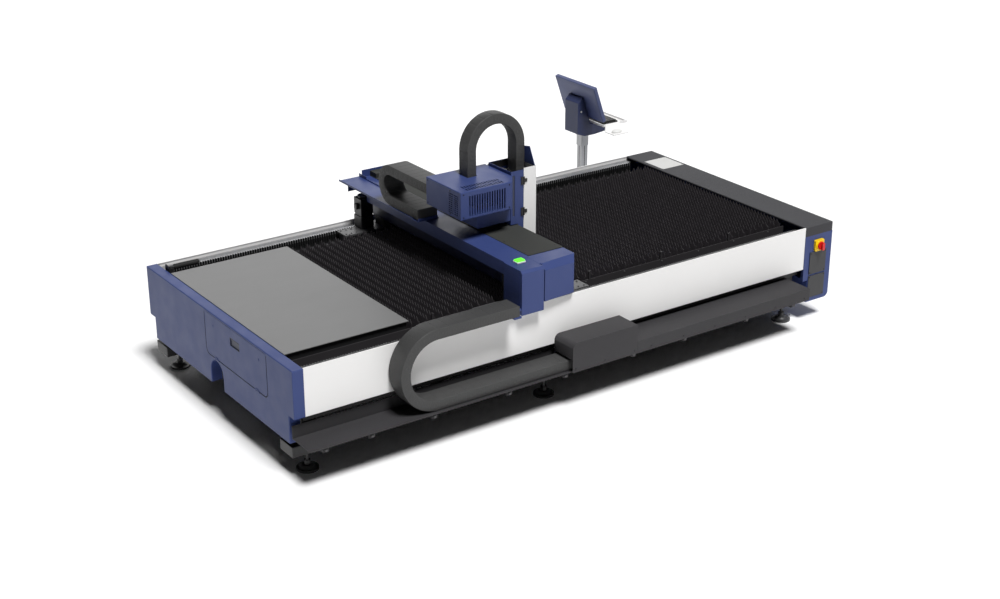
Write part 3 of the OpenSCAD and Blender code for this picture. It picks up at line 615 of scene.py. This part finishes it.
bm = bmesh.new()
rings = []
for z, kx, ky in ((0.2, 0.96, 0.96), (3, 1.0, 1.0), (9, 0.99, 0.98), (15, 0.92, 0.9), (20, 0.74, 0.72), (22.4, 0.46, 0.44), (22.9, 0.15, 0.14)):
    rings.append([P(px + 131 + 49 * kx * math.cos(t), py - 282 + 30.5 * ky * math.sin(t) * (1 - 0.08 * math.cos(2 * t)), kz - 39 + z) for t in [2 * math.pi * k / 40 for k in range(40)]])
ring_loft(bm, rings)
revolve(bm, P(px + 106, py - 287, kz - 20.5), (0, 1, 0), [(3.6, 0), (4.4, 1.5), (4.4, 8.5), (3.6, 10)], 20)
finish_mesh("mouse_shell", bm, "light", "bed", ("mouse",), weighted=False, angle=50)

# ------------------------------------------------------------------ fasteners and small fittings
screws("carriage_cover_screws", "carriage", [(x, 527, z, "-y") for x in (1562, 1922) for z in (1190, 1344)]
       + [(1540, y, z, "-x") for y in (650, 915) for z in (1190, 1344)], "oxide", "motor_black", 4.5, 2.6)
screws("dust_cover_screws", "gantry", [(x, y, 1003, "+z") for y in list(range(200, 2060, 230)) for x in (1812, 2052)], "oxide", "motor_black", 4.2, 1.6)
screws("cover_panel_screws", "bed", [(x, -10, z, "-y") for x in (4196, 4336) for z in (376, 523, 194, 340)], "oxide", "motor_black", 4, 2.2)
screws("slider_plate_screws", "gantry", [(x, y, 705, "+z") for x in (1432, 1475, 1518, 2144, 2187, 2232) for y in (118, 197, 2025 - 118, 2025 - 197)], "bolt", "motor_black", 6, 5,
       lambda bm, at, a, r, h: socket_screw(bm, at, a, r, h, flat=True))
screws("guide_rail_plugs", "bed", [(x, y, 650, "+z") for x in range(130, 4110, 80) for y in (157.5, 2025 - 157.5)], "oxide", "motor_black", 6, 0.12)
screws("anchor_box_screws", "bed", [(x, -200, z, "-y") for x in (1930, 2170, 2415) for z in (300,)], "oxide", "motor_black", 4.2, 2.4)
screws("trough_cover_screws", "bed", [(x, -200, 300, "-y") for x in range(2560, 4000, 280)], "oxide", "motor_black", 4.2, 2.4)
screws("right_cap_screws", "bed", [(4400, y, 690, "+x") for y in range(120, 2000, 290)], "oxide", "motor_black", 4.5, 2.4)
screws("rear_panel_screws", "bed", [(x, 2025, z, "+y") for x in range(160, 4100, 330) for z in (330, 700)], "zinc", "bright_steel", 5, 2.8)
screws("console_arm_screws", "bed", [(x, 2033, z, "+y") for x in (4040, 4118) for z in (335, 470, 605)], "zinc", "bright_steel", 7, 5, hex_head)
screws("console_head_screws", "bed", [(4008, 2457, 1014, "-y"), (4008, 2633, 1014, "+y")], "light", "light_plastic", 8, 2.6)
screws("strip_screws", "bed", [(x, 224, 668, "-y") for x in range(1010, 4100, 330)], "bolt", "bright_steel", 6, 3.2)
screws("trough_bolts", "bed", [(x + 20, -158, 249, "-y") for x in (97, 414, 858, 1419, 1861, 2423, 2868, 3430, 3875)], "bolt", "bright_steel", 10, 8, hex_head)

# rear travel stop: bracket over the end of the rail with a rubber buffer
bm = bmesh.new()
box_bm(bm, (88, 1852, 650), (98, 1916, 757), 2, 2)
box_bm(bm, (98, 1856, 650), (132, 1912, 660), 2, 2)
for k in (1858, 1904):
    box_bm(bm, (97, k, 659), (126, k + 6, 740), 1.5, 2)
revolve(bm, P(97, 1884, 738), (1, 0, 0), [(12, 0), (12, 40)], 28)
revolve(bm, P(136, 1884, 738), (1, 0, 0), [(17, 0), (18, 4), (18, 170), (16, 180), (9, 185)], 32, 1)
finish_mesh("rear_travel_stop", bm, ["frame", "rubber"], "bed", slot="frame_dark")

# paddle that closes the cup of the hatch handle
bm = bmesh.new()
box_bm(bm, (6, 679, 603), (10, 792, 650), 1.5, 2)
box_bm(bm, (1, 679, 643), (9, 792, 650), 1.5, 2)
finish_mesh("hatch_paddle", bm, "cup", "hatch", slot="motor_black")

# dark folded strip that closes the slit between trough and bed: a dark sheet put in for the shade seen in that slit
bm = bmesh.new()
box_bm(bm, (82, 46, 362.6), (4128, 48.4, 399.4), 0.8, 1)
box_bm(bm, (82, 48, 395.4), (4128, 54.6, 399.4), 0.8, 1)
finish_mesh("slit_shade_strip", bm, "frame", "bed", slot="frame_dark")

# dark rubber edging around the sides and foot of the hatch opening: a dark piece put in the seam for the shade of the
# gap
bm = bmesh.new()


def hatch_line(o):
    lo, hi, foot, top, r = 322 - o, 1150 + o, 425 - o, 706, 40 + o
    pts = [(lo, top)] + [(lo + r - r * math.cos(math.radians(9 * k)), foot + r - r * math.sin(math.radians(9 * k))) for k in range(11)]
    pts += [(hi - r + r * math.sin(math.radians(9 * k)), foot + r - r * math.cos(math.radians(9 * k))) for k in range(11)]
    return pts + [(hi, top)]


rings = [[bm.verts.new(P(x, y, z)) for y, z in hatch_line(o)] for x, o in ((0.3, 0.3), (-0.4, 0.6), (-0.4, 4.2), (0.3, 4.5))]
for a, b in zip(rings, rings[1:] + rings[:1]):
    for k in range(len(a) - 1):
        bm.faces.new((a[k], a[k + 1], b[k + 1], b[k]))
for k in (0, -1):
    bm.faces.new([r[k] for r in rings])
bmesh.ops.recalc_face_normals(bm, faces=bm.faces)
finish_mesh("hatch_seam_shade_edging", bm, "rubber", "bed", slot="black_plastic")

# strip behind the slot of the column, and dark lining under its open top
bm = bmesh.new()
box_bm(bm, (2022, 643.2, 1060), (2052, 645.4, 1356), 0.8, 1)
box_bm(bm, (2024, 645, 1064), (2050, 648, 1352), 0.8, 1)
finish_mesh("column_slot_strip", bm, "cup", "carriage", slot="motor_black")
bm = bmesh.new()
box_bm(bm, (2017.4, 643.4, 1334), (2094, 868, 1344), 2, 2)
box_bm(bm, (2017.4, 643.4, 1340), (2024, 896.6, 1376), 1.5, 2)
box_bm(bm, (2017.4, 643.4, 1340), (2094, 648, 1372), 1.5, 2)
box_bm(bm, (2017.4, 891, 1336), (2210, 896.6, 1376), 1.5, 2)
for k, yy in enumerate((690, 716, 742)):
    revolve(bm, P(2040 + 9 * k, yy, 1343), (0.18, 0, 1), [(7, 0), (7, 26), (5, 31)], 18)
finish_mesh("column_lining", bm, "black", "carriage", slot="black_plastic")

# dark strips along the console post: painted shade standing in for its grooves
bm = bmesh.new()
for lo, hi in (((4092, 2513.4, 304), (4098, 2514.4, 698)), ((4092, 2575.6, 304), (4098, 2576.6, 698)),
               ((4063.4, 2542, 304), (4064.4, 2548, 698)), ((4125.6, 2542, 304), (4126.6, 2548, 698))):
    box_bm(bm, lo, hi, 0.3, 1)
finish_mesh("console_post_groove_shade", bm, "panel", "bed", slot="motor_black")

# plain silver plate on the cap
bm = bmesh.new()
box_bm(bm, (4165, 1600, 728.6), (4375, 1830, 730.4), 0.6, 1)
finish_mesh("cap_blank_plate", bm, "label", "bed", slot="light_plastic")
screws("cap_plate_rivets", "bed", [(x, y, 730.3, "+z") for x in (4175, 4365) for y in (1610, 1820)], "zinc", "bright_steel", 3.5, 1.4)

# ------------------------------------------------------------------ floor and light
bm = bmesh.new()
bmesh.ops.create_grid(bm, x_segments=2, y_segments=2, size=60.0)
me = bpy.data.meshes.new("floor")
bm.to_mesh(me)
bm.free()
floor = bpy.data.objects.new("floor", me)
scene.collection.objects.link(floor)
fm = Mat("pale_floor")
fm.link(fm.ramp(fm.noise(0.6, 2), [(0.3, (0.965, 0.965, 0.965)), (0.7, (0.98, 0.98, 0.98))]), "Base Color")
fm.put(Roughness=1.0, Specular_IOR_Level=0.0)
me.materials.append(fm.m)

world = bpy.data.worlds.new("studio")
scene.world = world
world.use_nodes = True
world.node_tree.nodes["Background"].inputs["Color"].default_value = (1, 1, 1, 1)
world.node_tree.nodes["Background"].inputs["Strength"].default_value = 0.03


def area(name, at, to, size, power):
    d = bpy.data.lights.new(name, "AREA")
    d.shape = "RECTANGLE"
    d.size, d.size_y, d.energy = size[0], size[1], power
    o = bpy.data.objects.new(name, d)
    o.location = at
    o.rotation_euler = (Vector(to) - Vector(at)).to_track_quat("-Z", "Y").to_euler()
    scene.collection.objects.link(o)
    return o


key = bpy.data.lights.new("key", "SUN")
key.energy = 3.55
key.angle = math.radians(16)
ko = bpy.data.objects.new("key", key)
ko.rotation_euler = Vector((0.02, 0.42, -0.9)).to_track_quat("-Z", "Y").to_euler()
scene.collection.objects.link(ko)
# bright backdrop that shows only as a sheen on the flat tops
backdrop = area("backdrop", (8.05, 11.45, 6.0), (0, 0, 0.8), (18.0, 6.0), 640)
backdrop.visible_camera = False

scene.view_settings.view_transform = "Standard"
